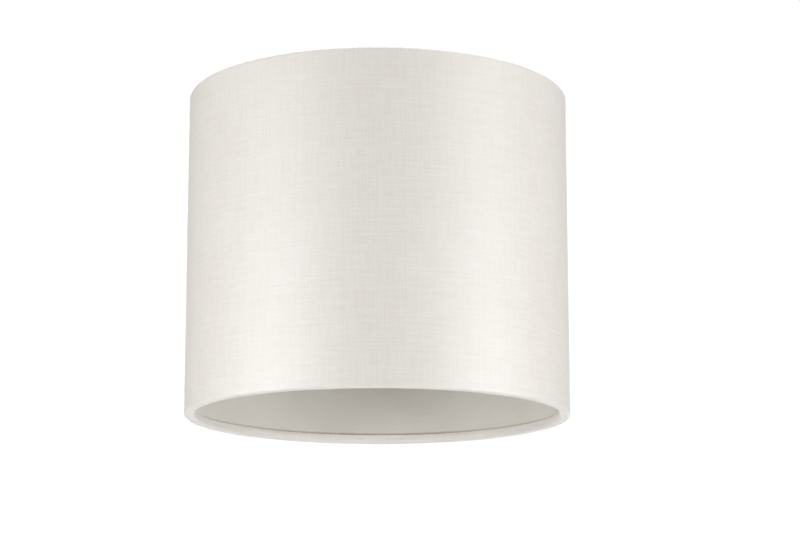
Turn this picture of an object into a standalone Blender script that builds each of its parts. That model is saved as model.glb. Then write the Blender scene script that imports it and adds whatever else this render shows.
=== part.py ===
"""Drum lamp shade: cloth on a lining sheet, rolled over two wire rings, with a three-strut fitter.

Units are metres and +Z is up. The origin is the centre of the bottom edge, on the surface that the
shade stands on. The vertical seam is at the +X side, a little towards the back, and one strut of the
fitter points straight back, at +Y.
"""

import math

import bmesh
import bpy
from mathutils import Matrix

# Driving dimensions of the shade
SHADE_RADIUS = 0.100
SHADE_HEIGHT = 0.170
CLOTH = 0.0005
LINING = 0.0004
TAPE = 0.0002
WIRE = 0.0028
GAP = 0.0002

# Cloth: the fold at the shade's edge, the roll round the ring and the seam's lap
FOLD_RADIUS = 0.001
TUCK_ANGLE = math.radians(50)
LAP_CLOTH = 0.0004
LAP_LINING = 0.0003
LAP_ANGLE = math.radians(7)
LAP_END_CLEARANCE = 0.001
TAPE_SLIT_ANGLE = math.radians(25)
SEAM_ANGLE = math.radians(15)
SEAM_TAPE_START = math.radians(2)
SEAM_TAPE_END = math.radians(6.5)

# Fitter and reducer
STRUTS = 3
FIRST_STRUT_ANGLE = math.radians(90)
FITTER_DROP = 0.020
FITTER_RADIUS = 0.026
FITTER_HOLE_RADIUS = 0.020
FITTER_THICKNESS = 0.0012
STRUT_STUB = 0.006
STRUT_FOOT_RADIUS = 0.0215
STRUT_BEND_RADIUS = 0.012
STRUT_FOOT_LENGTH = 0.012
NOTCH_CLEARANCE = 0.0003
REDUCER_FLANGE_RADIUS = 0.0225
REDUCER_FLANGE_THICKNESS = 0.0012
REDUCER_BOSS_RADIUS = 0.0195
REDUCER_BOSS_DEPTH = 0.0018
REDUCER_HOLE_RADIUS = 0.014
EDGE_CHAMFER = 0.0002

# Fineness of the round pieces
SIDES_AROUND = 48
WASHER_SIDES = 36
WIRE_SIDES = 8
WIRE_BEVEL_RESOLUTION = 2
FOLD_STEPS = 2
ROLL_STEPS = 8
LAP_STEPS = 5
BEND_STEPS = 4
MERGE_DISTANCE = 0.00001

# Where the pieces lie, worked out from the outside in
LINING_OUTER_RADIUS = SHADE_RADIUS - CLOTH - GAP
LINING_INNER_RADIUS = LINING_OUTER_RADIUS - LINING
RING_TAPE_INNER = WIRE / 2 + GAP
RING_TAPE_OUTER = RING_TAPE_INNER + TAPE
ROLL_RADIUS = RING_TAPE_OUTER + GAP + CLOTH
RING_RADIUS = LINING_INNER_RADIUS - GAP - RING_TAPE_OUTER
RING_HEIGHT = ROLL_RADIUS
HEM_HEIGHT = 2 * ROLL_RADIUS
FITTER_TOP = SHADE_HEIGHT - FITTER_DROP


def clear_scene():
    for obj in list(bpy.data.objects):
        bpy.data.objects.remove(obj, do_unlink=True)


def make_collection(name):
    collection = bpy.data.collections.new(name)
    bpy.context.scene.collection.children.link(collection)
    return collection


def make_material(name, colour, roughness):
    material = bpy.data.materials.new(name)
    material.use_nodes = True
    shader = material.node_tree.nodes["Principled BSDF"]
    shader.inputs["Base Color"].default_value = (*colour, 1.0)
    shader.inputs["Roughness"].default_value = roughness
    material.diffuse_color = (*colour, 1.0)
    return material


def add_object(name, data, collection, material=None, parent=None):
    obj = bpy.data.objects.new(name, data)
    collection.objects.link(obj)
    obj.parent = parent
    if material:
        data.materials.append(material)
    return obj


def polar(radius, angle):
    return radius * math.cos(angle), radius * math.sin(angle)


def arc(centre, radius, start, end, steps):
    """Points of an arc about centre, from angle start to angle end."""
    points = []
    for i in range(steps + 1):
        x, y = polar(radius, start + (end - start) * i / steps)
        points.append((centre[0] + x, centre[1] + y))
    return points


def turned(name, outline, sides, collection, material, parent):
    """A closed (radius, height) outline turned round Z; it runs down its outer side."""
    mesh = bpy.data.meshes.new(name)
    edges = [(i, (i + 1) % len(outline)) for i in range(len(outline))]
    mesh.from_pydata([(r, 0, z) for r, z in outline], edges, [])
    obj = add_object(name, mesh, collection, material, parent)
    screw = obj.modifiers.new("turn", "SCREW")
    screw.axis = "Z"
    screw.angle = math.tau
    screw.steps = sides
    screw.render_steps = sides
    screw.use_merge_vertices = True
    screw.merge_threshold = MERGE_DISTANCE
    screw.use_smooth_shade = True
    return obj


def upright_strip(name, path, z_low, z_high, thickness, collection, material=None, parent=None):
    """A strip that stands on a flat path of (x, y) points, centred on it by Solidify."""
    bm = bmesh.new()
    verts = [bm.verts.new((x, y, z_low)) for x, y in path]
    edges = [bm.edges.new(pair) for pair in zip(verts, verts[1:])]
    raised = bmesh.ops.extrude_edge_only(bm, edges=edges)["geom"]
    top = [item for item in raised if isinstance(item, bmesh.types.BMVert)]
    bmesh.ops.translate(bm, verts=top, vec=(0, 0, z_high - z_low))
    mesh = bpy.data.meshes.new(name)
    bm.to_mesh(mesh)
    bm.free()
    obj = add_object(name, mesh, collection, material, parent)
    solidify = obj.modifiers.new("thickness", "SOLIDIFY")
    solidify.thickness = thickness
    solidify.offset = 0
    solidify.use_even_offset = True
    return obj


def boolean(obj, other, operation):
    modifier = obj.modifiers.new(f"{operation.lower()}_{other.name}", "BOOLEAN")
    modifier.operation = operation
    modifier.solver = "EXACT"
    modifier.object = other


def hide_cutter(obj):
    obj.hide_render = True
    obj.display_type = "WIRE"


def strut_angles():
    return [FIRST_STRUT_ANGLE + math.tau * i / STRUTS for i in range(STRUTS)]


def hem_outline(inset):
    """One face of the cloth at the bottom hem, from the wall round the ring to the tucked end."""
    fold_centre = (SHADE_RADIUS - FOLD_RADIUS, FOLD_RADIUS)
    fold = arc(fold_centre, FOLD_RADIUS - inset, 0, -math.pi / 2, FOLD_STEPS)
    ring_centre = (RING_RADIUS, RING_HEIGHT)
    roll = arc(ring_centre, ROLL_RADIUS - inset, 1.5 * math.pi, TUCK_ANGLE, ROLL_STEPS)
    return fold + roll


def turned_over(outline):
    """The same outline at the shade's top edge."""
    return [(r, SHADE_HEIGHT - z) for r, z in outline]


def lap_path(root_angle, direction, wall_radius, lap_radius):
    """From inside a wall out to the lap's own radius, then along it."""
    path = [polar(wall_radius, root_angle)]
    for i in range(1, LAP_STEPS + 1):
        path.append(polar(lap_radius, root_angle + direction * LAP_ANGLE * i / LAP_STEPS))
    return path


def side_angle(steps_from_seam):
    """The angle of a vertex column of the turned walls."""
    return SEAM_ANGLE + steps_from_seam * math.tau / SIDES_AROUND


def notch_cutter(name, r_low, r_high, z_low, z_high, collection):
    """One block at each strut, which clears the wire where it meets the top ring."""
    width = WIRE + 2 * NOTCH_CLEARANCE
    size = Matrix.Diagonal((r_high - r_low, width, z_high - z_low, 1))
    place = Matrix.Translation(((r_low + r_high) / 2, 0, (z_low + z_high) / 2))
    bm = bmesh.new()
    for angle in strut_angles():
        bmesh.ops.create_cube(bm, size=1, matrix=Matrix.Rotation(angle, 4, "Z") @ place @ size)
    mesh = bpy.data.meshes.new(name)
    bm.to_mesh(mesh)
    bm.free()
    cutter = add_object(name, mesh, collection)
    hide_cutter(cutter)
    return cutter


def fabric_cover(collection, cutters, material, parent):
    """The cloth wall with its hems rolled over both rings, and the lap that hides the seam."""
    outer = hem_outline(0)
    inner = hem_outline(CLOTH)
    outline = turned_over(outer[::-1]) + outer + inner[::-1] + turned_over(inner)
    cover = turned("fabric_cover", outline, SIDES_AROUND, collection, material, parent)
    lap_radius = SHADE_RADIUS + GAP + TAPE + GAP + LAP_CLOTH / 2
    path = lap_path(side_angle(-1), 1, SHADE_RADIUS - CLOTH / 2, lap_radius)
    z_low = FOLD_RADIUS + LAP_END_CLEARANCE
    lap = upright_strip("cover_lap", path, z_low, SHADE_HEIGHT - z_low, LAP_CLOTH, cutters)
    hide_cutter(lap)
    boolean(cover, lap, "UNION")
    ring_z = SHADE_HEIGHT - RING_HEIGHT
    slit = notch_cutter(
        "cover_slits",
        RING_RADIUS - ROLL_RADIUS - CLOTH,
        LINING_INNER_RADIUS,
        ring_z - ROLL_RADIUS - CLOTH,
        ring_z + WIRE / 2 + NOTCH_CLEARANCE,
        cutters,
    )
    boolean(cover, slit, "DIFFERENCE")


def lining(collection, cutters, material, parent):
    """The stiff sheet inside the cloth, whose end laps over its start on the inner side."""
    z_low = FOLD_RADIUS
    z_high = SHADE_HEIGHT - FOLD_RADIUS
    outline = [
        (LINING_OUTER_RADIUS, z_high),
        (LINING_OUTER_RADIUS, z_low),
        (LINING_INNER_RADIUS, z_low),
        (LINING_INNER_RADIUS, z_high),
    ]
    sheet = turned("lining", outline, SIDES_AROUND, collection, material, parent)
    wall_radius = (LINING_OUTER_RADIUS + LINING_INNER_RADIUS) / 2
    lap_radius = LINING_INNER_RADIUS - GAP - LAP_LINING / 2
    path = lap_path(side_angle(1), -1, wall_radius, lap_radius)
    lap_low = HEM_HEIGHT + LAP_END_CLEARANCE
    lap = upright_strip("lining_lap", path, lap_low, SHADE_HEIGHT - lap_low, LAP_LINING, cutters)
    hide_cutter(lap)
    boolean(sheet, lap, "UNION")


def seam_tape(collection, material, parent):
    """The adhesive strip between the cloth wall and its lap."""
    radius = SHADE_RADIUS + GAP + TAPE / 2
    lap_root = side_angle(-1)
    path = arc((0, 0), radius, lap_root + SEAM_TAPE_START, lap_root + SEAM_TAPE_END, LAP_STEPS)
    z_low = FOLD_RADIUS + 2 * LAP_END_CLEARANCE
    upright_strip("seam_tape", path, z_low, SHADE_HEIGHT - z_low, TAPE, collection, material, parent)


def wire_ring(name, z, collection, material, parent):
    bpy.ops.mesh.primitive_torus_add(
        major_segments=SIDES_AROUND,
        minor_segments=WIRE_SIDES,
        major_radius=RING_RADIUS,
        minor_radius=WIRE / 2,
        location=(0, 0, z),
    )
    ring = bpy.context.object
    ring.name = name
    ring.data.name = name
    for owner in list(ring.users_collection):
        owner.objects.unlink(ring)
    collection.objects.link(ring)
    ring.parent = parent
    ring.data.materials.append(material)
    ring.data.shade_smooth()


def ring_tape(name, z, collection, material, parent):
    """Tape wrapped round a ring's wire; its two edges leave a slit that faces the lining."""
    centre = (RING_RADIUS, 0)
    low, high = math.tau - TAPE_SLIT_ANGLE, TAPE_SLIT_ANGLE
    outer = arc(centre, RING_TAPE_OUTER, low, high, WIRE_SIDES)
    inner = arc(centre, RING_TAPE_INNER, high, low, WIRE_SIDES)
    tape = turned(name, outer + inner, SIDES_AROUND, collection, material, parent)
    tape.location.z = z
    return tape


def rounded_path(corners, radius):
    """A path of (r, z) corners, with each inner corner rounded to an arc."""
    path = [corners[0]]
    for before, corner, after in zip(corners, corners[1:], corners[2:]):
        to_before = math.atan2(before[1] - corner[1], before[0] - corner[0])
        to_after = math.atan2(after[1] - corner[1], after[0] - corner[0])
        turn = (to_after - to_before + math.pi) % math.tau - math.pi
        reach = radius / abs(math.tan(turn / 2))
        bisector = to_before + turn / 2
        away = radius / abs(math.sin(turn / 2))
        bx, by = polar(away, bisector)
        centre = (corner[0] + bx, corner[1] + by)
        sx, sy = polar(reach, to_before)
        ex, ey = polar(reach, to_after)
        start = math.atan2(corner[1] + sy - centre[1], corner[0] + sx - centre[0])
        end = math.atan2(corner[1] + ey - centre[1], corner[0] + ex - centre[0])
        sweep = (end - start + math.pi) % math.tau - math.pi
        path += arc(centre, radius, start, start + sweep, BEND_STEPS)
    path.append(corners[-1])
    return path


def strut_curve():
    """The bent wire from the top ring's inner side down to the fitter's underside."""
    ring_z = SHADE_HEIGHT - RING_HEIGHT
    foot_z = FITTER_TOP - FITTER_THICKNESS - GAP - WIRE / 2
    outer_end = RING_RADIUS - WIRE / 2 - GAP
    corners = [
        (outer_end, ring_z),
        (outer_end - STRUT_STUB, ring_z),
        (STRUT_FOOT_RADIUS + STRUT_FOOT_LENGTH, foot_z),
        (STRUT_FOOT_RADIUS, foot_z),
    ]
    path = rounded_path(corners, STRUT_BEND_RADIUS)
    curve = bpy.data.curves.new("strut", "CURVE")
    curve.dimensions = "3D"
    curve.bevel_depth = WIRE / 2
    curve.bevel_resolution = WIRE_BEVEL_RESOLUTION
    curve.use_fill_caps = True
    spline = curve.splines.new("POLY")
    spline.points.add(len(path) - 1)
    for point, (r, z) in zip(spline.points, path):
        point.co = (r, 0, z, 1)
    return curve


def struts(collection, material, parent):
    curve = strut_curve()
    curve.materials.append(material)
    for number, angle in enumerate(strut_angles(), start=1):
        strut = add_object(f"strut_{number}", curve, collection, parent=parent)
        strut.rotation_euler.z = angle


def fitter_ring(collection, material, parent):
    """The stamped washer that a lampholder clamps."""
    chamfered = FITTER_RADIUS - EDGE_CHAMFER
    outline = [
        (chamfered, 0),
        (FITTER_RADIUS, -EDGE_CHAMFER),
        (FITTER_RADIUS, EDGE_CHAMFER - FITTER_THICKNESS),
        (chamfered, -FITTER_THICKNESS),
        (FITTER_HOLE_RADIUS, -FITTER_THICKNESS),
        (FITTER_HOLE_RADIUS, 0),
    ]
    ring = turned("fitter_ring", outline, WASHER_SIDES, collection, material, parent)
    ring.location.z = FITTER_TOP


def reducer_ring(collection, material, parent):
    """The loose ring that drops into the fitter; its origin is on its sliding axis."""
    chamfered = REDUCER_FLANGE_RADIUS - EDGE_CHAMFER
    outline = [
        (chamfered, REDUCER_FLANGE_THICKNESS),
        (REDUCER_FLANGE_RADIUS, REDUCER_FLANGE_THICKNESS - EDGE_CHAMFER),
        (REDUCER_FLANGE_RADIUS, 0),
        (REDUCER_BOSS_RADIUS, 0),
        (REDUCER_BOSS_RADIUS, -REDUCER_BOSS_DEPTH),
        (REDUCER_HOLE_RADIUS, -REDUCER_BOSS_DEPTH),
        (REDUCER_HOLE_RADIUS, REDUCER_FLANGE_THICKNESS),
    ]
    ring = turned("reducer_ring", outline, WASHER_SIDES, collection, material, parent)
    ring.location.z = FITTER_TOP + GAP


def build():
    clear_scene()
    collection = make_collection("lamp_shade")
    cutters = make_collection("lamp_shade_cutters")
    root = add_object("lamp_shade_origin", None, collection)

    cloth = make_material("off_white_linen", (0.80, 0.77, 0.72), 0.9)
    sheet = make_material("white_lining", (0.86, 0.84, 0.79), 0.45)
    adhesive = make_material("clear_tape", (0.85, 0.84, 0.80), 0.3)
    enamel = make_material("white_enamelled_wire", (0.88, 0.88, 0.87), 0.35)
    plastic = make_material("white_plastic", (0.90, 0.90, 0.88), 0.4)

    fabric_cover(collection, cutters, cloth, root)
    lining(collection, cutters, sheet, root)
    seam_tape(collection, adhesive, root)

    ring_heights = {"bottom": RING_HEIGHT, "top": SHADE_HEIGHT - RING_HEIGHT}
    for place, z in ring_heights.items():
        wire_ring(f"{place}_ring", z, collection, enamel, root)
        tape = ring_tape(f"{place}_ring_tape", z, collection, adhesive, root)
        if place == "top":
            clearance = WIRE / 2 + NOTCH_CLEARANCE
            inner_edge = RING_RADIUS - RING_TAPE_OUTER - GAP
            outer_edge = RING_RADIUS - RING_TAPE_OUTER / 2
            notch = notch_cutter(
                "tape_notches", inner_edge, outer_edge, z - clearance, z + clearance, cutters
            )
            boolean(tape, notch, "DIFFERENCE")

    struts(collection, enamel, root)
    fitter_ring(collection, enamel, root)
    reducer_ring(collection, plastic, root)


build()
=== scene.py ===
"""The looks of a drum lamp shade: linen cloth rolled over two wire rings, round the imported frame.

Everything is in metres in the frame's own axes: +Z up, the front at -Y, the origin at the centre of
the bottom edge. The cloth and the lining are wound sheets whose ends lap at the seam on the +X side.
"""

import math

import bpy
import numpy as np
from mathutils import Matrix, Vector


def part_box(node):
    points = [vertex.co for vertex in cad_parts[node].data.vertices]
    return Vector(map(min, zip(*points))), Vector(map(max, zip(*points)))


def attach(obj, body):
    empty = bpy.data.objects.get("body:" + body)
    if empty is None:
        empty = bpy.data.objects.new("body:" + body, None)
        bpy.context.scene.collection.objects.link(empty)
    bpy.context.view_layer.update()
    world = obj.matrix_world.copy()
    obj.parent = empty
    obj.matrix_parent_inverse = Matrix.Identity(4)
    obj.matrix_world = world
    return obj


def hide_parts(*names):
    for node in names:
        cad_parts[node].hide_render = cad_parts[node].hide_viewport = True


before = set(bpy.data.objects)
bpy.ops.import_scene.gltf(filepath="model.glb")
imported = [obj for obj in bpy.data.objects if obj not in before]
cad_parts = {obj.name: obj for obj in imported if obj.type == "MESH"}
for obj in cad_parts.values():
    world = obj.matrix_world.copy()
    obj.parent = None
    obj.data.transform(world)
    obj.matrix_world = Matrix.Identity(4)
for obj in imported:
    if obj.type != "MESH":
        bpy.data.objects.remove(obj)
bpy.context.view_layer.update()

MM = 0.001
TURN = math.tau

# Sizes read from the frame
COVER_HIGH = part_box("fabric_cover")[1]
LINING_LOW, LINING_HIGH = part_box("lining")
RING_LOW, RING_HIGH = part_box("bottom_ring")
FITTER_LOW, FITTER_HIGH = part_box("fitter_ring")
REDUCER_LOW, REDUCER_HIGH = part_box("reducer_ring")
STRUT_LOW, STRUT_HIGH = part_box("strut_1")
SHADE_RADIUS = COVER_HIGH.x
SHADE_HEIGHT = COVER_HIGH.z
LINING_RADIUS = LINING_HIGH.x
WIRE_RADIUS = (RING_HIGH.z - RING_LOW.z) / 2
RING_RADIUS = RING_HIGH.x - WIRE_RADIUS

# Cloth
CLOTH = 0.5 * MM
FOLD_RADIUS = 1.1 * MM
ROLL_REACH = 2.4 * MM                   # from the ring's centre to the roll's outer face, sideways
ROLL_RISE = 2.4 * MM                    # the same, up and down
TUCK_ANGLE = math.radians(48)
EDGE_DIP = 0.12 * MM                    # hollow between the wall's edge and the ring
WALL_WAVE = 0.06 * MM
ROLL_WAVE = 0.07 * MM
PUCKER = 0.07 * MM
PUCKER_LENGTH = 5.5 * MM
TUCK_WANDER = math.radians(5)
COVER_COLUMNS = 560
WALL_STATIONS = 26
HEM_STATIONS = (8, 3, 26)               # in the fold, the underside and the roll

# Seam: the cloth starts under the lap and ends on top of it
SEAM_START = math.radians(8)
SEAM_END = math.radians(374.5)
LAP_LENGTH = math.radians(6.6)
LAP_RAMP = math.radians(2.2)
LAP_LIFT = 0.86 * MM                    # how far the lap stands off the wall
LAP_FOLD_LIFT = 0.22 * MM               # the same at the hems, where the lap is pulled tight
LAP_EASE = 6 * MM                       # height above the edge where the full lift is reached
LAP_HEM_LIFT = 0.14 * MM                # how much thicker the lap makes the roll
LAP_PRESS = 0.35                        # how much thinner the pressed layers are in the lap
LAP_NOSE = 0.9 * MM                     # length of the lap's rounded free edge
LAP_NOSE_TIP = 0.08                     # its thickness at the very tip, of the full thickness
LAP_NOSE_COLUMNS = 9
LAP_GAP = 0.05 * MM
LAP_TUCK = math.radians(26)             # how much sooner the lap's roll ends
LINING_START = math.radians(22)
LINING_END = math.radians(15.5 - 360)
LINING_LAP = math.radians(6.5)
LINING_GAP = 0.04 * MM                  # between the lining and its lap
GLUE_GAP = 0.2 * MM                     # between the lining and the ring's tape
LINING_EDGE = 0.35                      # how thin the lap's free edge is, of the full thickness
LINING_TAPER = 3 * MM
LINING_RAMP = math.radians(1.7)         # over which the lining steps up onto its start
LINING_HEM_CLEAR = 0.5 * MM             # between the lap and the hems
LINING_WAVE = 0.05 * MM
LINING_COLUMNS = 420
LINING_ROWS = 40

# Struts and their slits in the top hem
STRUT_ANGLES = [math.radians(90 + 120 * i) for i in range(3)]
SLIT_HALF_WIDTH = 1.8 * MM
SLIT_SHOULDER = 0.8 * MM
SLIT_COLUMNS = 34
SLIT_END_ANGLE = math.radians(236)      # where the roll ends under a strut
STRUT_STUB = 6 * MM
STRUT_FOOT = 12 * MM
STRUT_BEND = 12 * MM
STRUT_SPACING = 1.2 * MM
STRUT_END = 0.9 * MM                    # length of the rounded end at the fitter
RING_WELD_SWELL = 0.35 * MM
RING_WELD_LENGTH = 2.4 * MM
WELD_HALF_LENGTH = 2.3 * MM
WELD_HALF_WIDTH = 2.1 * MM
WELD_HALF_HEIGHT = 1.0 * MM
WELD_DROP = 0.25 * MM
WELD_ROOT = 0.4 * MM                    # how far the weld reaches into the washer

# Fitter washer and reducer, as radii and heights
FITTER_HOLE = 20.0 * MM
REDUCER_BOSS = 19.4 * MM
REDUCER_BOSS_DEPTH = 1.8 * MM
REDUCER_HOLE = 14.0 * MM
REDUCER_LAND = 1.5 * MM                 # raised rim beside the flange's shallow groove
REDUCER_SLOPE = 0.4 * MM
REDUCER_GROOVE = 0.15 * MM
RIBS = 4
RIB_HEIGHT = 0.22 * MM
RIB_TOP = 0.15 * MM
RIB_FOOT = 0.75 * MM

WEAVE_MAP = "weave"


# ---------------------------------------------------------------- mesh helpers

def smooth_step(value, low, high):
    """0 below low, 1 above high and smooth between."""
    t = np.clip((value - low) / (high - low), 0, 1)
    return t * t * (3 - 2 * t)


def wander(x, wavelength, seed):
    """A smooth irregular wave between about -1 and 1 along x."""
    rng = np.random.default_rng(seed)
    total = np.zeros_like(x, dtype=float)
    for octave in (0.55, 0.8, 1.0, 1.45, 1.9):
        total += np.sin(TURN * x / wavelength * octave + rng.uniform(0, TURN))
    return total / 2.6


def link(obj):
    """Put an object in the scene."""
    bpy.context.scene.collection.objects.link(obj)
    return obj


def mesh_object(name, verts, quads, uvs=None, sharp_degrees=50):
    mesh = bpy.data.meshes.new(name)
    mesh.from_pydata(verts.reshape(-1, 3).tolist(), [], quads)
    if uvs is not None:
        layer = mesh.uv_layers.new(name=WEAVE_MAP)
        corner_verts = np.zeros(len(mesh.loops), dtype=np.int32)
        mesh.loops.foreach_get("vertex_index", corner_verts)
        layer.data.foreach_set("uv", uvs.reshape(-1, 2)[corner_verts].ravel())
    mesh.validate()
    mesh.shade_smooth()
    mesh.set_sharp_from_angle(angle=math.radians(sharp_degrees))
    return link(bpy.data.objects.new(name, mesh))


def grid_quads(columns, rows, wrap_columns, wrap_rows, start=0, flip=False):
    """Quads of a columns x rows grid of vertices numbered column by column."""
    i = np.arange(columns if wrap_columns else columns - 1)
    j = np.arange(rows if wrap_rows else rows - 1)
    i, j = (g.ravel() for g in np.meshgrid(i, j, indexing="ij"))
    i2 = (i + 1) % columns
    j2 = (j + 1) % rows
    quads = np.stack([i * rows + j, i * rows + j2, i2 * rows + j2, i2 * rows + j], axis=1) + start
    return (quads[:, ::-1] if flip else quads).tolist()


def surface_normals(points):
    """Unit normals of a grid of points, away from the shade's axis on the wall."""
    along = np.gradient(points, axis=0)
    down = np.gradient(points, axis=1)
    normal = np.cross(down, along)
    length = np.linalg.norm(normal, axis=2, keepdims=True)
    return normal / np.maximum(length, 1e-12)


def sheet_solid(name, middle, outward, inward, uv):
    """A closed thin solid round a columns x rows grid of middle points; outward and inward are the
    distances from it to the two faces."""
    normal = surface_normals(middle)
    outer = middle + normal * outward[..., None]
    inner = middle - normal * inward[..., None]
    columns, rows = middle.shape[:2]
    count = columns * rows
    quads = grid_quads(columns, rows, False, False)
    quads += grid_quads(columns, rows, False, False, start=count, flip=True)
    for i, flip in ((0, True), (columns - 1, False)):
        for j in range(rows - 1):
            a, b = i * rows + j, i * rows + j + 1
            quad = [a, b, b + count, a + count]
            quads.append(quad if flip else quad[::-1])
    for j, flip in ((0, False), (rows - 1, True)):
        for i in range(columns - 1):
            a, b = i * rows + j, (i + 1) * rows + j
            quad = [a, b, b + count, a + count]
            quads.append(quad if flip else quad[::-1])
    verts = np.concatenate([outer.reshape(-1, 3), inner.reshape(-1, 3)])
    uvs = np.concatenate([uv.reshape(-1, 2), uv.reshape(-1, 2)])
    return mesh_object(name, verts, quads, uvs, sharp_degrees=65)


def around(radius, angle, height):
    """Points (x, y, z) from arrays of radius, angle and height."""
    return np.stack([radius * np.cos(angle), radius * np.sin(angle), height], axis=-1)


def corner_arc(before, corner, after, radius, steps):
    """Points of the arc that rounds the corner between two straight runs."""
    before, corner, after = (np.array(point) for point in (before, corner, after))
    u = (before - corner) / np.linalg.norm(before - corner)
    v = (after - corner) / np.linalg.norm(after - corner)
    half = math.acos(np.clip(u @ v, -1, 1)) / 2
    reach = radius / math.tan(half)
    start, end = corner + u * reach, corner + v * reach
    centre = corner + (u + v) / np.linalg.norm(u + v) * radius / math.sin(half)
    first = math.atan2(*(start - centre)[::-1])
    sweep = (math.atan2(*(end - centre)[::-1]) - first + math.pi) % TURN - math.pi
    angles = first + sweep * np.arange(steps + 1) / steps
    return centre + radius * np.stack([np.cos(angles), np.sin(angles)], axis=1)


def fillet(corners, radii, steps=5):
    """A closed outline of (r, z) corners, each rounded to its own radius."""
    count = len(corners)
    arcs = []
    for k, radius in enumerate(radii):
        before, corner, after = (corners[(k + d) % count] for d in (-1, 0, 1))
        arcs.append(corner_arc(before, corner, after, radius, steps))
    return np.concatenate(arcs)


def turned_ring(name, outline, columns, shape=None):
    """A closed (r, z) outline turned round Z; shape(angle, r, z) may vary it round the turn."""
    angle = np.linspace(0, TURN, columns, endpoint=False)[:, None]
    r = np.broadcast_to(outline[:, 0], (columns, len(outline))).copy()
    z = np.broadcast_to(outline[:, 1], (columns, len(outline))).copy()
    if shape:
        r, z = shape(angle, r, z)
    verts = around(r, np.broadcast_to(angle, r.shape), z)
    quads = grid_quads(columns, len(outline), True, True)
    return mesh_object(name, verts, quads, sharp_degrees=40)


def tube(name, path, radii, sides=20):
    """A round bar along a path of points that lies in one upright plane through Z."""
    path = np.array(path)
    tangent = np.gradient(path, axis=0)
    tangent /= np.linalg.norm(tangent, axis=1, keepdims=True)
    side = np.array([0.0, 1.0, 0.0])
    up = np.cross(tangent, side)
    a = np.linspace(0, TURN, sides, endpoint=False)
    ring = np.cos(a)[None, :, None] * side + np.sin(a)[None, :, None] * up[:, None, :]
    verts = path[:, None, :] + ring * np.array(radii)[:, None, None]
    count, quads = len(path), grid_quads(len(path), sides, False, True)
    quads.append(list(range(sides)))
    quads.append(list(range((count - 1) * sides, count * sides))[::-1])
    return mesh_object(name, verts, quads, sharp_degrees=60)


# ---------------------------------------------------------------- cloth cover

def cover_columns():
    """Angles of the cloth's columns: even all round, finer at the slits and at the lap's ends."""
    even = np.linspace(SEAM_START, SEAM_END, COVER_COLUMNS)
    extra = []
    for angle in STRUT_ANGLES:
        centre = angle if angle > SEAM_START else angle + TURN
        reach = (SLIT_HALF_WIDTH + 2 * SLIT_SHOULDER) / RING_RADIUS
        extra.append(centre + np.linspace(-reach, reach, SLIT_COLUMNS))
    nose = LAP_NOSE / SHADE_RADIUS
    extra.append(SEAM_END - nose * (1 - np.sin(np.linspace(0, math.pi / 2, LAP_NOSE_COLUMNS))))
    columns = np.unique(np.concatenate([even, *extra]))
    keep = np.append(np.diff(columns) > 2e-4, True)
    nose_part = columns > SEAM_END - nose
    return columns[keep | nose_part]


def hem_profile(angle, lift, swell, end_angle):
    """(r, z) of the cloth's middle at the bottom hem: fold, underside and roll, for each column."""
    fold_steps, edge_steps, roll_steps = HEM_STATIONS
    half = CLOTH / 2
    angle = angle[:, None]
    lift, swell, end_angle = lift[:, None], swell[:, None], end_angle[:, None]
    fold = FOLD_RADIUS + swell
    fold_centre = SHADE_RADIUS + lift - FOLD_RADIUS - swell
    a = -np.linspace(0, math.pi / 2, fold_steps)[None, :]
    fold_r = fold_centre + (fold - half) * np.cos(a)
    fold_z = FOLD_RADIUS + (fold - half) * np.sin(a)
    t = np.linspace(0, 1, edge_steps + 2)[None, 1:-1]
    edge_r = fold_centre + (RING_RADIUS - fold_centre) * t
    edge_z = half - swell + EDGE_DIP * np.sin(math.pi * t)
    t = np.linspace(0, 1, roll_steps)[None, :]
    b = 1.5 * math.pi + (end_angle - 1.5 * math.pi) * t
    arc = angle * SHADE_RADIUS
    gather = np.cos(TURN * arc / PUCKER_LENGTH + 2.2 * wander(arc, 31 * MM, 5))
    gather = gather * (0.6 + 0.4 * wander(arc, 23 * MM, 6))
    pucker = PUCKER * gather * smooth_step(t, 0.25, 0.85)
    roll_r = RING_RADIUS + (ROLL_REACH - half + swell + pucker) * np.cos(b)
    roll_z = ROLL_RISE + (ROLL_RISE - half + swell + pucker) * np.sin(b)
    r = np.concatenate([fold_r, edge_r, roll_r], axis=1)
    z = np.concatenate([fold_z, edge_z, roll_z], axis=1)
    return r, z


def slit_depth(angle):
    """1 where a strut passes through the hem, falling to 0 at the slit's sides."""
    depth = np.zeros_like(angle)
    for strut in STRUT_ANGLES:
        away = np.abs((angle - strut + math.pi) % TURN - math.pi) * RING_RADIUS
        side = 1 - smooth_step(away, SLIT_HALF_WIDTH, SLIT_HALF_WIDTH + SLIT_SHOULDER)
        depth = np.maximum(depth, side)
    return depth


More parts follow.
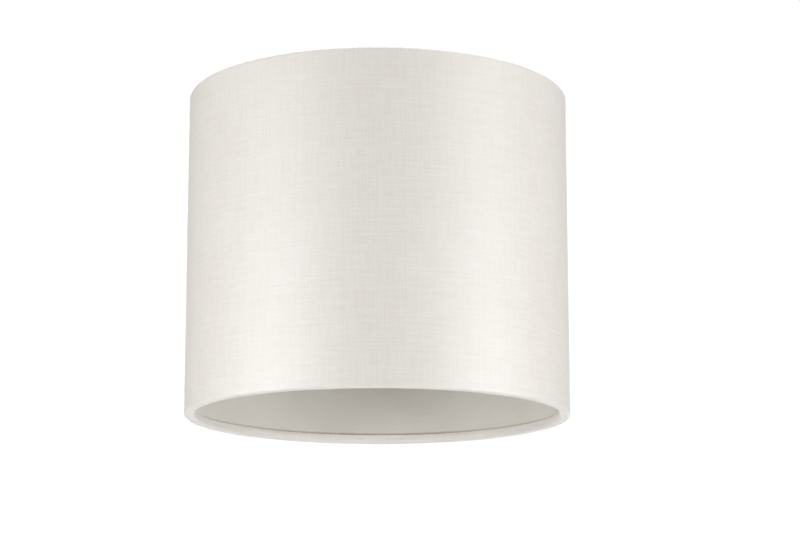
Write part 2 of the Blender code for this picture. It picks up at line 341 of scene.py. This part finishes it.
def make_cover():
    """The linen cloth: wall, both rolled hems and the lap over the seam, as one wound sheet."""
    angle = cover_columns()
    arc = angle * SHADE_RADIUS
    lap_from = SEAM_END - LAP_LENGTH
    on_lap = smooth_step(angle, lap_from - LAP_RAMP, lap_from)
    lift = LAP_FOLD_LIFT * on_lap + WALL_WAVE * wander(arc, 150 * MM, 1) * (1 - on_lap)
    thick = LAP_HEM_LIFT * on_lap
    hems = []
    for seed in (11, 12):
        swell = 0.7 * wander(arc, 42 * MM, seed) + 0.3 * wander(arc, 11 * MM, seed + 2)
        swell = thick + ROLL_WAVE * swell
        end = TUCK_ANGLE + TUCK_WANDER * wander(arc, 17 * MM, seed + 4)
        end = end + LAP_TUCK * on_lap
        hems.append([swell, end])
    depth = slit_depth(angle)
    hems[1][1] = hems[1][1] + (SLIT_END_ANGLE - hems[1][1]) * depth
    low_r, low_z = hem_profile(angle, lift, *hems[0])
    top_r, top_z = hem_profile(angle, lift, *hems[1])
    wall = (0.5 - 0.5 * np.cos(np.linspace(0, math.pi, WALL_STATIONS)))[None, 1:-1]
    wall_z = low_z[:, :1] + (SHADE_HEIGHT - top_z[:, :1] - low_z[:, :1]) * wall
    wave = WALL_WAVE * wander(arc[:, None] + 0.35 * wall_z, 95 * MM, 3) * np.sin(math.pi * wall)
    from_end = np.minimum(wall_z, SHADE_HEIGHT - wall_z)
    stand = (LAP_LIFT - LAP_FOLD_LIFT) * on_lap[:, None] * smooth_step(from_end, FOLD_RADIUS, LAP_EASE)
    wall_r = low_r[:, :1] + (top_r[:, :1] - low_r[:, :1]) * wall + wave + stand
    r = np.concatenate([top_r[:, ::-1], wall_r[:, ::-1], low_r], axis=1)
    z = np.concatenate([SHADE_HEIGHT - top_z[:, ::-1], wall_z[:, ::-1], low_z], axis=1)
    middle = around(r, np.broadcast_to(angle[:, None], r.shape), z)
    steps = np.hypot(np.diff(r, axis=1), np.diff(z, axis=1))
    travel = np.concatenate([np.zeros((len(angle), 1)), np.cumsum(steps, axis=1)], axis=1)
    wall_top = len(top_r[0])
    travel = travel - travel[:, wall_top:wall_top + 1]
    uv = np.stack([np.broadcast_to(arc[:, None], r.shape), -travel], axis=-1)
    under_lap = 1 - smooth_step(angle, SEAM_START + LAP_LENGTH, SEAM_START + LAP_LENGTH + LAP_RAMP)
    half = CLOTH / 2 * (1 - LAP_PRESS * np.maximum(on_lap, under_lap))
    outward = np.broadcast_to(half[:, None], r.shape).copy()
    inward = outward.copy()
    to_end = (SEAM_END - angle) * SHADE_RADIUS
    turned_under = (1 - smooth_step(to_end, LAP_NOSE * 0.8, LAP_NOSE * 1.6)) * on_lap
    inward += (LAP_LIFT - CLOTH - LAP_GAP) * turned_under[:, None]
    round_length = LAP_NOSE * 0.6
    nose = np.sqrt(np.clip(1 - (1 - to_end / round_length) ** 2, 0, 1))
    nose = np.where(to_end < round_length, nose, 1)[:, None]
    thickness = outward + inward
    centre_shift = (outward - inward) / 2
    rounded = thickness / 2 * np.maximum(nose, LAP_NOSE_TIP)
    outward, inward = centre_shift + rounded, rounded - centre_shift
    return sheet_solid("linen_cover", middle, outward, inward, uv)


# ---------------------------------------------------------------- lining

def make_lining():
    """The stiff sheet behind the cloth; its last stretch laps over its start, inside the shade."""
    thickness = LINING_RADIUS - (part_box("top_ring_tape")[1].x + GLUE_GAP)
    angle = np.linspace(LINING_START, LINING_END, LINING_COLUMNS)
    on_lap = smooth_step(LINING_END + LINING_LAP - angle, 0, LINING_RAMP)
    hem_clear = 2 * ROLL_RISE + LINING_HEM_CLEAR
    z_low = LINING_LOW.z + (hem_clear - LINING_LOW.z) * on_lap
    z_high = SHADE_HEIGHT - z_low
    t = np.linspace(0, 1, LINING_ROWS)[None, :]
    z = z_low[:, None] + (z_high - z_low)[:, None] * t
    arc = angle[:, None] * LINING_RADIUS
    wave = LINING_WAVE * wander(arc + 0.4 * z, 120 * MM, 21) * np.sin(math.pi * t)
    r = LINING_RADIUS - thickness / 2 - (thickness + LINING_GAP) * on_lap[:, None] + wave
    middle = around(r, np.broadcast_to(angle[:, None], r.shape), z)
    uv = np.stack([np.broadcast_to(arc, r.shape), z], axis=-1)
    to_end = np.abs(LINING_END - angle) * LINING_RADIUS
    thin = LINING_EDGE + (1 - LINING_EDGE) * smooth_step(to_end, 0, LINING_TAPER)
    half = np.broadcast_to(thickness / 2 * thin[:, None], r.shape)
    shift = thickness / 2 * (1 - thin[:, None])
    return sheet_solid("lining_sheet", middle, half + shift, half - shift, uv)


# ---------------------------------------------------------------- wire frame

def rounded_path(corners, radius, steps=8):
    """A path of (r, z) corners with its inner corners rounded."""
    arcs = [corner_arc(*three, radius, steps) for three in zip(corners, corners[1:], corners[2:])]
    return np.concatenate([[corners[0]], *arcs, [corners[-1]]])


def spaced(path, spacing):
    """The same path with a point every spacing or so."""
    lengths = np.linalg.norm(np.diff(path, axis=0), axis=1)
    travel = np.concatenate([[0], np.cumsum(lengths)])
    at = np.linspace(0, travel[-1], int(travel[-1] / spacing) + 2)
    at = np.unique(np.concatenate([at, travel]))
    at = at[np.append(np.diff(at) > spacing / 6, True)]
    return np.stack([np.interp(at, travel, path[:, k]) for k in range(2)], axis=1), at


def make_strut(number, angle):
    """One bent wire from the top ring down to the fitter, with a weld swelling at each end."""
    ring_z = SHADE_HEIGHT - (RING_LOW.z + WIRE_RADIUS)
    foot_r = STRUT_LOW.y
    foot_z = STRUT_LOW.z + WIRE_RADIUS
    ring_side = RING_RADIUS - WIRE_RADIUS * 0.55
    stub_end = STRUT_HIGH.y - STRUT_STUB
    corners = [(ring_side, ring_z), (stub_end, ring_z), (foot_r + STRUT_FOOT, foot_z), (foot_r, foot_z)]
    path, travel = spaced(rounded_path(corners, STRUT_BEND), STRUT_SPACING)
    radii = np.full(len(path), WIRE_RADIUS)
    radii += RING_WELD_SWELL * (1 - smooth_step(travel, 0.9 * MM, RING_WELD_LENGTH))
    from_foot = travel[-1] - travel
    radii *= np.sqrt(np.clip(1 - (1 - from_foot / STRUT_END).clip(0, 1) ** 2, 0.12, 1))
    points = np.stack([path[:, 0], np.zeros(len(path)), path[:, 1]], axis=1)
    points = np.concatenate([points[-1:] - (STRUT_END * 0.001, 0, 0), points[::-1]])
    radii = np.concatenate([[0.02 * MM], radii[::-1]])
    strut = tube(f"frame_strut_{number}", points, radii)
    strut.rotation_euler.z = angle
    return strut


def make_weld(number, angle):
    """The fillet of weld metal between a strut's foot and the fitter's underside."""
    rows, columns = 14, 26
    u = np.linspace(0, math.pi, rows)[None, :]
    v = np.linspace(0, TURN, columns, endpoint=False)[:, None]
    lump = 1 + 0.08 * np.sin(3 * v + number) * np.sin(u) + 0.05 * np.sin(5 * v + 2 * u + number)
    foot_r = STRUT_LOW.y
    x = foot_r + WELD_HALF_LENGTH + WELD_HALF_LENGTH * np.cos(u) * np.ones_like(v)
    y = WELD_HALF_WIDTH * np.sin(u) * np.cos(v) * lump
    z = FITTER_LOW.z - WELD_DROP + WELD_HALF_HEIGHT * np.sin(u) * np.sin(v) * lump
    z = np.minimum(z, FITTER_LOW.z + WELD_ROOT)
    verts = np.stack([x, y, z], axis=-1)
    quads = grid_quads(columns, rows, True, False, flip=True)
    weld = mesh_object(f"fitter_weld_{number}", verts, quads, sharp_degrees=180)
    weld.rotation_euler.z = angle
    return weld


def make_fitter():
    """The stamped washer: a soft die-rolled edge above, a sharper one below."""
    outer = FITTER_HIGH.x
    top, bottom = FITTER_HIGH.z, FITTER_LOW.z
    corners = [(outer, top), (outer, bottom), (FITTER_HOLE, bottom), (FITTER_HOLE, top)]
    radii = [0.45 * MM, 0.18 * MM, 0.18 * MM, 0.4 * MM]
    return turned_ring("fitter_washer", fillet(corners, radii), 120)


def make_reducer():
    """The moulded reducer: a flange, a boss with four crush ribs, and softened edges."""
    flange = REDUCER_HIGH.x
    top, bottom = REDUCER_HIGH.z, REDUCER_LOW.z
    seat = bottom + REDUCER_BOSS_DEPTH
    land, slope = REDUCER_LAND, REDUCER_LAND + REDUCER_SLOPE
    corners = [
        (flange, top),
        (flange, seat),
        (REDUCER_BOSS, seat),
        (REDUCER_BOSS, bottom),
        (REDUCER_HOLE, bottom),
        (REDUCER_HOLE, top),
        (REDUCER_HOLE + land, top),
        (REDUCER_HOLE + slope, top - REDUCER_GROOVE),
        (flange - slope, top - REDUCER_GROOVE),
        (flange - land, top),
    ]
    radii = [0.35 * MM, 0.2 * MM, 0.12 * MM, 0.35 * MM, 0.3 * MM, 0.3 * MM] + [0.15 * MM] * 4
    outline = fillet(corners, radii, steps=4)

    def ribs(angle, r, z):
        on_boss = smooth_step(r, REDUCER_BOSS - 0.5 * MM, REDUCER_BOSS - 0.05 * MM)
        on_boss = on_boss * (z < seat - 0.1 * MM)
        rib = np.zeros_like(angle)
        for k in range(RIBS):
            away = np.abs((angle - TURN * k / RIBS + math.pi) % TURN - math.pi) * REDUCER_BOSS
            rib = np.maximum(rib, 1 - smooth_step(away, RIB_TOP, RIB_FOOT))
        return r + RIB_HEIGHT * rib * on_boss, z

    return turned_ring("reducer_moulding", outline, 240, ribs)


# ---------------------------------------------------------------- materials

class Nodes:
    """Short calls for a material's nodes."""

    def __init__(self, name):
        self.material = bpy.data.materials.new(name)
        self.material.use_nodes = True
        self.tree = self.material.node_tree
        self.shader = self.tree.nodes["Principled BSDF"]

    def add(self, kind, **settings):
        node = self.tree.nodes.new(kind)
        for key, value in settings.items():
            setattr(node, key, value)
        return node

    def put(self, value, socket):
        if isinstance(value, bpy.types.NodeSocket):
            self.tree.links.new(value, socket)
        else:
            socket.default_value = value

    def math(self, operation, a, b=0.0, c=0.0):
        node = self.add("ShaderNodeMath", operation=operation)
        for value, socket in zip((a, b, c), node.inputs):
            self.put(value, socket)
        return node.outputs[0]

    def vector(self, x, y, z=0.0):
        node = self.add("ShaderNodeCombineXYZ")
        for value, socket in zip((x, y, z), node.inputs):
            self.put(value, socket)
        return node.outputs[0]

    def noise(self, vector, scale, detail=2.0, roughness=0.5):
        node = self.add("ShaderNodeTexNoise")
        self.put(vector, node.inputs["Vector"])
        node.inputs["Scale"].default_value = scale
        node.inputs["Detail"].default_value = detail
        node.inputs["Roughness"].default_value = roughness
        return node.outputs["Fac"]

    def ramp(self, value, low, high, to_low=0.0, to_high=1.0):
        node = self.add("ShaderNodeMapRange", interpolation_type="SMOOTHSTEP")
        settings = (value, low, high, to_low, to_high)
        for setting, socket in zip(settings, node.inputs):
            self.put(setting, socket)
        return node.outputs[0]

    def mix(self, factor, a, b):
        """Blend of two colours; the colour sockets come after the float and vector ones."""
        node = self.add("ShaderNodeMix", data_type="RGBA")
        for value, socket in ((factor, 0), (a, 6), (b, 7)):
            self.put(value, node.inputs[socket])
        return node.outputs[2]

    def bump(self, height, distance, strength=1.0):
        node = self.add("ShaderNodeBump")
        node.inputs["Strength"].default_value = strength
        node.inputs["Distance"].default_value = distance
        self.put(height, node.inputs["Height"])
        self.put(node.outputs[0], self.shader.inputs["Normal"])

    def set(self, **values):
        for key, value in values.items():
            self.put(value, self.shader.inputs[key.replace("_", " ")])


WARP_PITCH = 0.42 * MM
WEFT_PITCH = 0.46 * MM
LINEN_DARK, LINEN_LIGHT = (0.73, 0.683, 0.62, 1), (0.88, 0.858, 0.828, 1)
LINING_DARK, LINING_LIGHT = (0.735, 0.71, 0.655, 1), (0.795, 0.773, 0.722, 1)
# painted shade: the dark line on the lining in the crease just above each hem's roll
CREASE_SHADE_COLOUR = (0.42, 0.403, 0.362, 1)
CREASE_SHADE_FROM = 5.1 * MM                    # painted crease shade above the hem's roll, from the sheet's edge
CREASE_SHADE_TO = 6.5 * MM
ENAMEL_DARK, ENAMEL_LIGHT = (0.78, 0.78, 0.76, 1), (0.84, 0.84, 0.82, 1)
TAPE_DARK, TAPE_LIGHT = (0.74, 0.72, 0.66, 1), (0.80, 0.78, 0.73, 1)
PLASTIC_DARK, PLASTIC_LIGHT = (0.80, 0.80, 0.775, 1), (0.85, 0.85, 0.83, 1)


def linen_material():
    """Plain weave with slubs: warp threads stand upright on the wall, weft threads run round it."""
    n = Nodes("linen_cloth")
    where = n.add("ShaderNodeUVMap", uv_map=WEAVE_MAP).outputs[0]
    split = n.add("ShaderNodeSeparateXYZ")
    n.put(where, split.inputs[0])
    u, v = split.outputs[0], split.outputs[1]
    drift = n.math("SUBTRACT", n.noise(where, 60.0, 2.0), 0.5)
    drift_2 = n.math("SUBTRACT", n.noise(n.vector(v, u, 3.0), 75.0, 2.0), 0.5)
    warp = n.math("DIVIDE", n.math("MULTIPLY_ADD", drift, 1.1 * MM, u), WARP_PITCH)
    weft = n.math("DIVIDE", n.math("MULTIPLY_ADD", drift_2, 1.3 * MM, v), WEFT_PITCH)

    def thread(across, along, seed):
        """Height across one thread, and its own shade and thickness along its length."""
        index = n.math("FLOOR", across)
        shade = n.add("ShaderNodeTexWhiteNoise", noise_dimensions="2D")
        n.put(n.vector(index, seed), shade.inputs["Vector"])
        run = n.vector(n.math("MULTIPLY", index, 7.31), n.math("MULTIPLY", along, 130.0), seed)
        slub = n.ramp(n.noise(run, 1.0, 3.0, 0.55), 0.52, 0.74)
        wave = n.math("SINE", n.math("MULTIPLY", n.math("FRACT", across), math.pi))
        return wave, shade.outputs["Value"], slub

    warp_wave, warp_shade, warp_slub = thread(warp, v, 1.0)
    weft_wave, weft_shade, weft_slub = thread(weft, u, 5.0)
    over = n.math(
        "MULTIPLY",
        n.math("SINE", n.math("MULTIPLY", warp, math.pi)),
        n.math("SINE", n.math("MULTIPLY", weft, math.pi)),
    )
    warp_up = n.ramp(over, -0.45, 0.45)
    weft_up = n.math("SUBTRACT", 1.0, warp_up)
    warp_height = n.math("MULTIPLY", warp_wave, n.math("MULTIPLY_ADD", warp_up, 0.6, 0.4))
    weft_height = n.math("MULTIPLY", weft_wave, n.math("MULTIPLY_ADD", weft_up, 0.6, 0.4))
    warp_height = n.math("MULTIPLY", warp_height, n.math("MULTIPLY_ADD", warp_slub, 0.5, 1.0))
    weft_height = n.math("MULTIPLY", weft_height, n.math("MULTIPLY_ADD", weft_slub, 0.5, 1.0))
    height = n.math("MAXIMUM", warp_height, weft_height)
    on_top = n.math("GREATER_THAN", warp_height, weft_height)
    shade = n.math(
        "ADD",
        n.math("MULTIPLY", on_top, n.math("MULTIPLY_ADD", warp_slub, 0.5, warp_shade)),
        n.math(
            "MULTIPLY",
            n.math("SUBTRACT", 1.0, on_top),
            n.math("MULTIPLY_ADD", weft_slub, 0.5, weft_shade),
        ),
    )
    streaks = n.math(
        "ADD",
        n.noise(n.vector(n.math("MULTIPLY", u, 900.0), n.math("MULTIPLY", v, 60.0)), 1.0, 2.0, 0.6),
        n.noise(n.vector(n.math("MULTIPLY", u, 70.0), n.math("MULTIPLY", v, 900.0), 9.0), 1.0, 2.0, 0.6),
    )
    cloudy = n.noise(n.vector(u, v, 4.0), 22.0, 3.0, 0.5)
    tone = n.math("MULTIPLY_ADD", n.math("SUBTRACT", shade, 0.6), 0.16, 0.5)
    tone = n.math("MULTIPLY_ADD", n.math("SUBTRACT", streaks, 1.0), 0.42, tone)
    tone = n.math("MULTIPLY_ADD", n.math("SUBTRACT", cloudy, 0.5), 0.12, tone)
    # painted shade: the weave's hollows between and under the threads are darkened, the thread crowns
    # stay lighter
    weave_hollow_shade = n.ramp(height, 0.25, 0.85)
    tone = n.math("MULTIPLY_ADD", n.math("SUBTRACT", weave_hollow_shade, 0.8), 0.35, tone)
    colour = n.mix(n.ramp(tone, 0.0, 1.0), LINEN_DARK, LINEN_LIGHT)
    n.set(Base_Color=colour, Roughness=0.47)
    n.shader.inputs["IOR"].default_value = 1.6
    n.shader.inputs["Specular IOR Level"].default_value = 1.0
    n.shader.inputs["Sheen Weight"].default_value = 0.25
    n.shader.inputs["Sheen Roughness"].default_value = 0.45
    n.shader.inputs["Sheen Tint"].default_value = (1.0, 0.98, 0.95, 1)
    n.bump(height, 0.1 * MM, 0.38)
    return n.material


def lining_material():
    """Satin sheet with a very fine emboss, faint drawing lines and painted shade in the crease above
    each hem's roll.
    """
    n = Nodes("lining_sheet")
    where = n.add("ShaderNodeUVMap", uv_map=WEAVE_MAP).outputs[0]
    split = n.add("ShaderNodeSeparateXYZ")
    n.put(where, split.inputs[0])
    u, v = split.outputs[0], split.outputs[1]
    grain = n.noise(where, 3200.0, 2.0)
    lines = n.noise(n.vector(n.math("MULTIPLY", u, 60.0), n.math("MULTIPLY", v, 700.0)), 1.0, 2.0)
    cloudy = n.noise(where, 28.0, 3.0)
    tone = n.math("MULTIPLY_ADD", n.math("SUBTRACT", lines, 0.5), 0.3, cloudy)
    colour = n.mix(n.ramp(tone, 0.25, 0.75), LINING_DARK, LINING_LIGHT)
    # painted shade: the lining is darkened in a band just above each hem's roll, where the roll shades
    # the crease
    from_end = n.math("MINIMUM", v, n.math("SUBTRACT", SHADE_HEIGHT, v))
    clear_of_crease_shade = n.ramp(from_end, CREASE_SHADE_FROM, CREASE_SHADE_TO)
    colour = n.mix(clear_of_crease_shade, CREASE_SHADE_COLOUR, colour)
    n.set(Base_Color=colour, Roughness=n.ramp(grain, 0.3, 0.7, 0.40, 0.52))
    n.shader.inputs["Specular IOR Level"].default_value = 0.4
    n.bump(n.math("MULTIPLY_ADD", lines, 0.4, grain), 0.02 * MM, 0.35)
    return n.material


def enamel_material():
    """White powder coat: orange peel, and a little wear tone."""
    n = Nodes("powder_coat")
    where = n.add("ShaderNodeTexCoord").outputs["Object"]
    peel = n.noise(where, 1700.0, 2.0)
    tone = n.noise(where, 140.0, 3.0)
    colour = n.mix(n.ramp(tone, 0.3, 0.7), ENAMEL_DARK, ENAMEL_LIGHT)
    n.set(Base_Color=colour, Roughness=n.ramp(tone, 0.3, 0.7, 0.3, 0.4))
    n.bump(peel, 0.04 * MM, 0.5)
    return n.material


def tape_material():
    """Clear-backed adhesive tape with fine creases."""
    n = Nodes("adhesive_tape")
    where = n.add("ShaderNodeTexCoord").outputs["Object"]
    crinkle = n.noise(where, 420.0, 4.0, 0.6)
    colour = n.mix(n.ramp(crinkle, 0.3, 0.7), TAPE_DARK, TAPE_LIGHT)
    n.set(Base_Color=colour, Roughness=n.ramp(crinkle, 0.3, 0.7, 0.25, 0.4))
    n.bump(crinkle, 0.05 * MM, 0.5)
    return n.material


def reducer_material():
    """Moulded satin plastic with a fine spark texture."""
    n = Nodes("moulded_plastic")
    where = n.add("ShaderNodeTexCoord").outputs["Object"]
    spark = n.noise(where, 2600.0, 3.0, 0.6)
    flow = n.noise(where, 90.0, 3.0)
    colour = n.mix(n.ramp(flow, 0.3, 0.7), PLASTIC_DARK, PLASTIC_LIGHT)
    n.set(Base_Color=colour, Roughness=n.ramp(spark, 0.3, 0.7, 0.36, 0.46))
    n.bump(spark, 0.03 * MM, 0.4)
    return n.material


def wear(obj, material):
    obj.data.materials.clear()
    obj.data.materials.append(material)


# ---------------------------------------------------------------- studio

# Softboxes round the shade, each aimed at its middle: azimuth (0 is the front, positive to the
# right), distance, height, width, length and power
SOFTBOXES = {
    "key_left": (-64, 1.0, -0.1, 0.4, 0.35, 5.2),
    "key_right": (64, 1.0, -0.1, 0.4, 0.35, 6.2),
    "high_right": (60, 1.0, 0.6, 0.35, 0.3, 1.7),
    "strip_left": (-45, 1.0, 0.12, 0.2, 0.4, 2.9),
    "strip_right": (45, 1.0, 0.12, 0.2, 0.4, 0.95),
    "back_wall": (180, 1.6, 0.05, 1.2, 1.2, 9.6),
    "back_high": (180, 0.9, 0.9, 0.5, 0.4, 3.0),
}
OVERHEAD_HEIGHT = 1.3
OVERHEAD_SIZE = 1.2
OVERHEAD_POWER = 13.0
UNDER_DROP = 0.6
UNDER_SIZE = 0.5
UNDER_POWER = 0.25
AIM_HEIGHT = SHADE_HEIGHT / 2
FLOOR_DROP = 0.75
FLOOR_SIZE = 12.0
FLOOR_GLOW = 0.93
AMBIENT = 0.06
BACKDROP = 1.05


def area_light(name, position, rotation, size, power):
    """A rectangular softbox that lights the shade and isn't seen itself."""
    data = bpy.data.lights.new(name, "AREA")
    data.shape = "RECTANGLE"
    data.size, data.size_y = size
    data.energy = power
    light = link(bpy.data.objects.new(name, data))
    light.location = position
    light.rotation_euler = rotation
    light.visible_camera = False


def make_lights():
    for name, (azimuth, distance, height, width, length, power) in SOFTBOXES.items():
        turn = math.radians(azimuth)
        position = (distance * math.sin(turn), -distance * math.cos(turn), height)
        tilt = math.pi / 2 - math.atan2(height - AIM_HEIGHT, distance)
        area_light(name, position, (tilt, 0, turn), (width, length), power)
    size = (OVERHEAD_SIZE, OVERHEAD_SIZE)
    area_light("overhead", (0, 0, OVERHEAD_HEIGHT), (0, 0, 0), size, OVERHEAD_POWER)
    size = (UNDER_SIZE, UNDER_SIZE)
    area_light("under", (0, 0, -UNDER_DROP), (math.pi, 0, 0), size, UNDER_POWER)


def make_floor():
    """A plain pale floor, well below the shade, which looks evenly lit from the camera."""
    corners = np.array([(-1, -1), (1, -1), (1, 1), (-1, 1)]) * FLOOR_SIZE / 2
    verts = np.column_stack([corners, np.full(4, -FLOOR_DROP)])
    floor = mesh_object("studio_floor", verts, [[0, 1, 2, 3]])
    n = Nodes("studio_floor")
    seen = n.add("ShaderNodeLightPath").outputs["Is Camera Ray"]
    n.set(Base_Color=n.mix(seen, (0.88, 0.88, 0.88, 1), (0, 0, 0, 1)), Roughness=1.0)
    n.set(Specular_IOR_Level=0.0, Emission_Color=(1, 1, 1, 1))
    n.put(n.math("MULTIPLY", seen, FLOOR_GLOW), n.shader.inputs["Emission Strength"])
    wear(floor, n.material)


def make_surround():
    """A white backdrop, and a weaker ambient light from it."""
    world = bpy.data.worlds.new("studio")
    bpy.context.scene.world = world
    world.use_nodes = True
    tree = world.node_tree
    background = tree.nodes["Background"]
    background.inputs["Color"].default_value = (1, 1, 1, 1)
    seen = tree.nodes.new("ShaderNodeLightPath")
    strength = tree.nodes.new("ShaderNodeMapRange")
    strength.inputs["To Min"].default_value = AMBIENT
    strength.inputs["To Max"].default_value = BACKDROP
    tree.links.new(seen.outputs["Is Camera Ray"], strength.inputs["Value"])
    tree.links.new(strength.outputs[0], background.inputs["Strength"])
    bpy.context.scene.view_settings.view_transform = "Standard"


def make_camera():
    """From below and in front: the shade hangs, and its open bottom shows."""
    data = bpy.data.cameras.new("camera")
    data.sensor_width = 36
    data.lens = 107.0
    camera = link(bpy.data.objects.new("camera", data))
    camera.location = (0.0029, -1.2239, -0.1830)
    camera.rotation_euler = (math.radians(90 + 12.138), 0, math.radians(-0.418))
    data.clip_end = 50
    bpy.context.scene.camera = camera


# ---------------------------------------------------------------- assembly

def place(obj, material, slot, body, *nodes):
    """Give a piece its material and the body it rides, and hide the CAD nodes it stands for; the slot
    argument is not used.
    """
    wear(obj, material)
    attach(obj, body)
    if nodes:
        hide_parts(*nodes)


make_camera()
make_lights()
make_floor()
make_surround()

linen = linen_material()
sheet = lining_material()
enamel = enamel_material()
tape = tape_material()
plastic = reducer_material()

cover = make_cover()
place(cover, linen, "cloth", "shade", "fabric_cover")
lining = make_lining()
place(lining, sheet, "lining_sheet", "shade", "lining")
for number, angle in enumerate(STRUT_ANGLES, start=1):
    place(make_strut(number, angle), enamel, "enamelled_wire", "shade", f"strut_{number}")
    place(make_weld(number, angle), enamel, "enamelled_wire", "shade")
place(make_fitter(), enamel, "enamelled_wire", "shade", "fitter_ring")
place(make_reducer(), plastic, "reducer_plastic", "reducer", "reducer_ring")

for name in ("top_ring", "bottom_ring"):
    wear(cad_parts[name], enamel)
for name in ("top_ring_tape", "bottom_ring_tape", "seam_tape"):
    wear(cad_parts[name], tape)
